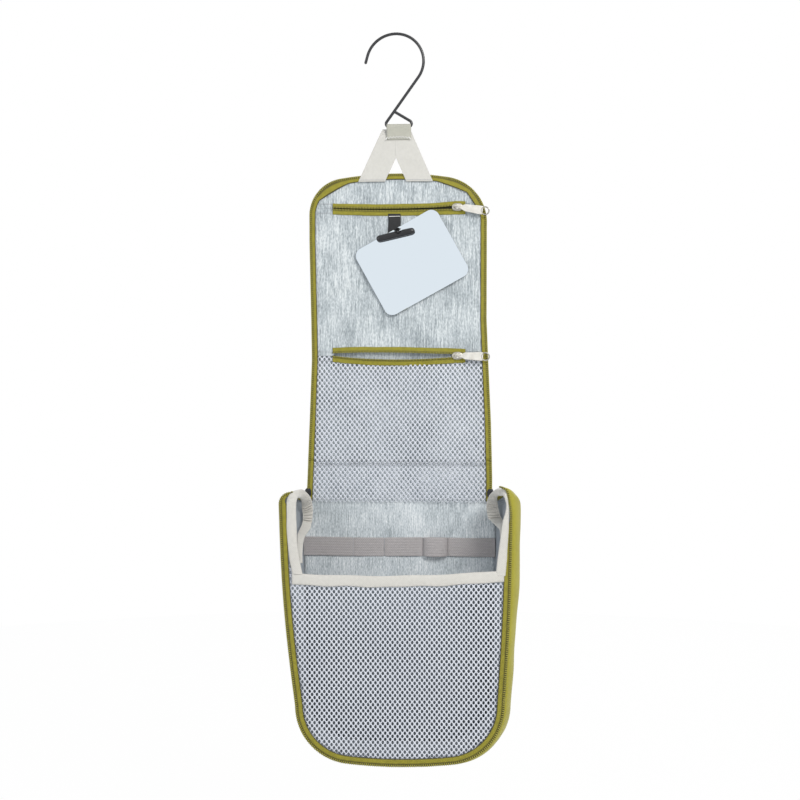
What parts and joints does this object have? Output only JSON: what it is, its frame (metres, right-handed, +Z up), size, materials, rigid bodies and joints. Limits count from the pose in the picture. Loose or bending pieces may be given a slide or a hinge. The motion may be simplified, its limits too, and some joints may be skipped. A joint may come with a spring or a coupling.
{
  "type": "hanging toiletry bag",
  "caption": "Fold-out hanging wash bag: wire hook and strap, long zip-edged lid with pockets and mirror, box compartment with mesh front.",
  "frame": {"origin": "the inside top of the hook's arc, where it bears on a rail", "axes": "+X to the right, +Y to the back, +Z up; the opened bag faces -Y"},
  "size_m": [0.2063, 0.0677, 0.6365],
  "materials": {
    "hook_wire": "glossy black coating",
    "stitching": "white thread",
    "strap_webbing": "ribbed woven ribbon",
    "outer_cloth": "plain woven cloth",
    "zip_tape": "herringbone tape",
    "zip_teeth": "moulded coil",
    "lining": "melange cloth",
    "mesh": "knitted mesh",
    "pocket_zip_pull": "cream enamel",
    "black_webbing": "woven webbing",
    "black_plastic": "moulded",
    "mirror": "polished",
    "dark_metal": "dark coating",
    "elastic": "ribbed elastic",
    "binding": "folded binding tape"
  },
  "bodies": {
    "hook": {"hook_wire": "hook_wire"},
    "strap": {"strap_loop": "strap_webbing", "strap_bartack": "stitching", "strap_left_leg": "strap_webbing", "strap_right_leg": "strap_webbing"},
    "lid_cover": {"strap_left_anchor": "strap_webbing", "strap_right_anchor": "strap_webbing", "lid_cover_shell": "outer_cloth", "lid_cover_lining": "lining", "lid_cover_zip_tape": "zip_tape", "lid_cover_zip_teeth": "zip_teeth", "lid_crown_panel": "lining", "upper_pocket_panel": "lining", "mesh_pocket_upper": "mesh", "upper_zip_tapes": "zip_tape", "upper_zip_teeth": "zip_teeth", "lower_zip_tapes": "zip_tape", "lower_zip_teeth": "zip_teeth", "mirror_webbing": "black_webbing", "mirror_toggle": "black_plastic"},
    "upper_slider": {"upper_zip_slider": "pocket_zip_pull"},
    "upper_pull": {"upper_zip_pull": "pocket_zip_pull"},
    "lower_slider": {"lower_zip_slider": "pocket_zip_pull"},
    "lower_pull": {"lower_zip_pull": "pocket_zip_pull"},
    "mirror": {"mirror_plate": "mirror"},
    "lid_top": {"lid_top_shell": "outer_cloth", "lid_top_lining": "lining", "lid_top_zip_tape": "zip_tape", "lid_top_zip_teeth": "zip_teeth", "mesh_pocket_lower": "mesh", "left_main_slider": "dark_metal", "right_main_slider": "dark_metal"},
    "left_pull": {"left_main_pull": "dark_metal"},
    "right_pull": {"right_main_pull": "dark_metal"},
    "bag": {"back_panel": "outer_cloth", "back_lining": "lining", "elastic_strip": "elastic", "brush_loop": "elastic", "left_gusset": "outer_cloth", "right_gusset": "outer_cloth", "bottom_gusset": "outer_cloth", "compartment_lining": "lining", "front_zip_tape": "zip_tape", "front_zip_teeth": "zip_teeth", "left_top_zip_teeth": "zip_teeth", "right_top_zip_teeth": "zip_teeth", "front_mesh": "mesh", "mesh_top_binding": "binding", "left_side_binding": "binding", "right_side_binding": "binding", "left_corner_gather": "binding", "right_corner_gather": "binding"}
  },
  "joints": [
    {"name": "strap_swing", "type": "hinge", "parent": "hook", "child": "strap", "pos_m": [0.00248, 0, -0.08118], "axis": [1, 0, 0], "range_deg": [-60, 60]},
    {"name": "strap_fold", "type": "hinge", "parent": "strap", "child": "lid_cover", "pos_m": [0.00248, 0, -0.12118], "axis": [1, 0, 0], "range_deg": [-90, 90]},
    {"name": "cover_fold", "type": "hinge", "parent": "lid_cover", "child": "lid_top", "pos_m": [0.00248, 0.0003, -0.34218], "axis": [-1, 0, 0], "range_deg": [0, 102]},
    {"name": "bag_fold", "type": "hinge", "parent": "lid_top", "child": "bag", "pos_m": [0.00248, 0.0003, -0.41218], "axis": [-1, 0, 0], "range_deg": [0, 77]},
    {"name": "mirror_turn", "type": "hinge", "parent": "lid_cover", "child": "mirror", "pos_m": [0.00128, -0.0013, -0.17458], "axis": [0, -1, 0], "range_deg": [-60, 5]},
    {"name": "upper_zip", "type": "slide", "parent": "lid_cover", "child": "upper_slider", "axis": [1, 0, 0], "range_m": [-0.105, 0]},
    {"name": "upper_pull_turn", "type": "hinge", "parent": "upper_slider", "child": "upper_pull", "pos_m": [0.05448, -0.003, -0.15268], "axis": [0, 0, -1], "range_deg": [0, 165]},
    {"name": "lower_zip", "type": "slide", "parent": "lid_cover", "child": "lower_slider", "axis": [1, 0, 0], "range_m": [-0.105, 0]},
    {"name": "lower_pull_turn", "type": "hinge", "parent": "lower_slider", "child": "lower_pull", "pos_m": [0.05448, -0.003, -0.28418], "axis": [0, 0, -1], "range_deg": [0, 165]},
    {"name": "left_pull_turn", "type": "hinge", "parent": "lid_top", "child": "left_pull", "pos_m": [-0.07849, 0.0085, -0.40568], "axis": [1, 0, 0], "range_deg": [0, 165]},
    {"name": "right_pull_turn", "type": "hinge", "parent": "lid_top", "child": "right_pull", "pos_m": [0.08346, 0.0085, -0.40568], "axis": [1, 0, 0], "range_deg": [0, 165]}
  ]
}
